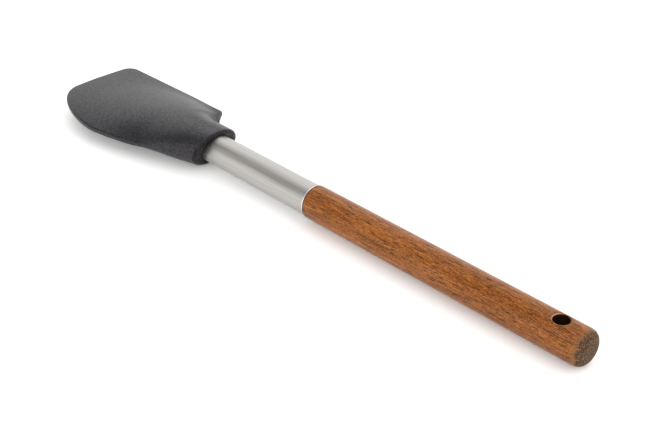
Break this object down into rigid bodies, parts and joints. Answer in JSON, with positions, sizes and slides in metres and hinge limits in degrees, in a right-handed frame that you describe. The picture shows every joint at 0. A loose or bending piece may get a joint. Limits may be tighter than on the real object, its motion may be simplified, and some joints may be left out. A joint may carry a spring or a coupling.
{
  "type": "silicone scraper spatula",
  "caption": "Kitchen scraper: soft silicone blade, straight on one side and curved on the other, on a steel neck tube with a round wooden handle and a hang hole.",
  "frame": {"origin": "centre of the hang hole, on the handle's axis", "axes": "+X along the handle out of the butt, the blade points to -X; +Z along the hang hole's axis, square to the blade; +Y towards the blade's straight side"},
  "size_m": [0.3235, 0.0568, 0.0194],
  "materials": {
    "handle_wood": "oiled hardwood, satin, open pores along the grain",
    "neck_steel": "stainless, fine brushed along the tube",
    "core_plastic": "glass-filled nylon, moulded",
    "head_silicone": "matt charcoal silicone, fine moulded texture"
  },
  "bodies": {
    "stem": {"handle": "handle_wood", "neck_tube": "neck_steel", "head_core": "core_plastic"},
    "head": {"silicone_head": "head_silicone"}
  },
  "joints": [
    {"name": "head_pull_off", "type": "slide", "parent": "stem", "child": "head", "axis": [-1, 0, 0], "range_m": [0, 0.07]}
  ]
}
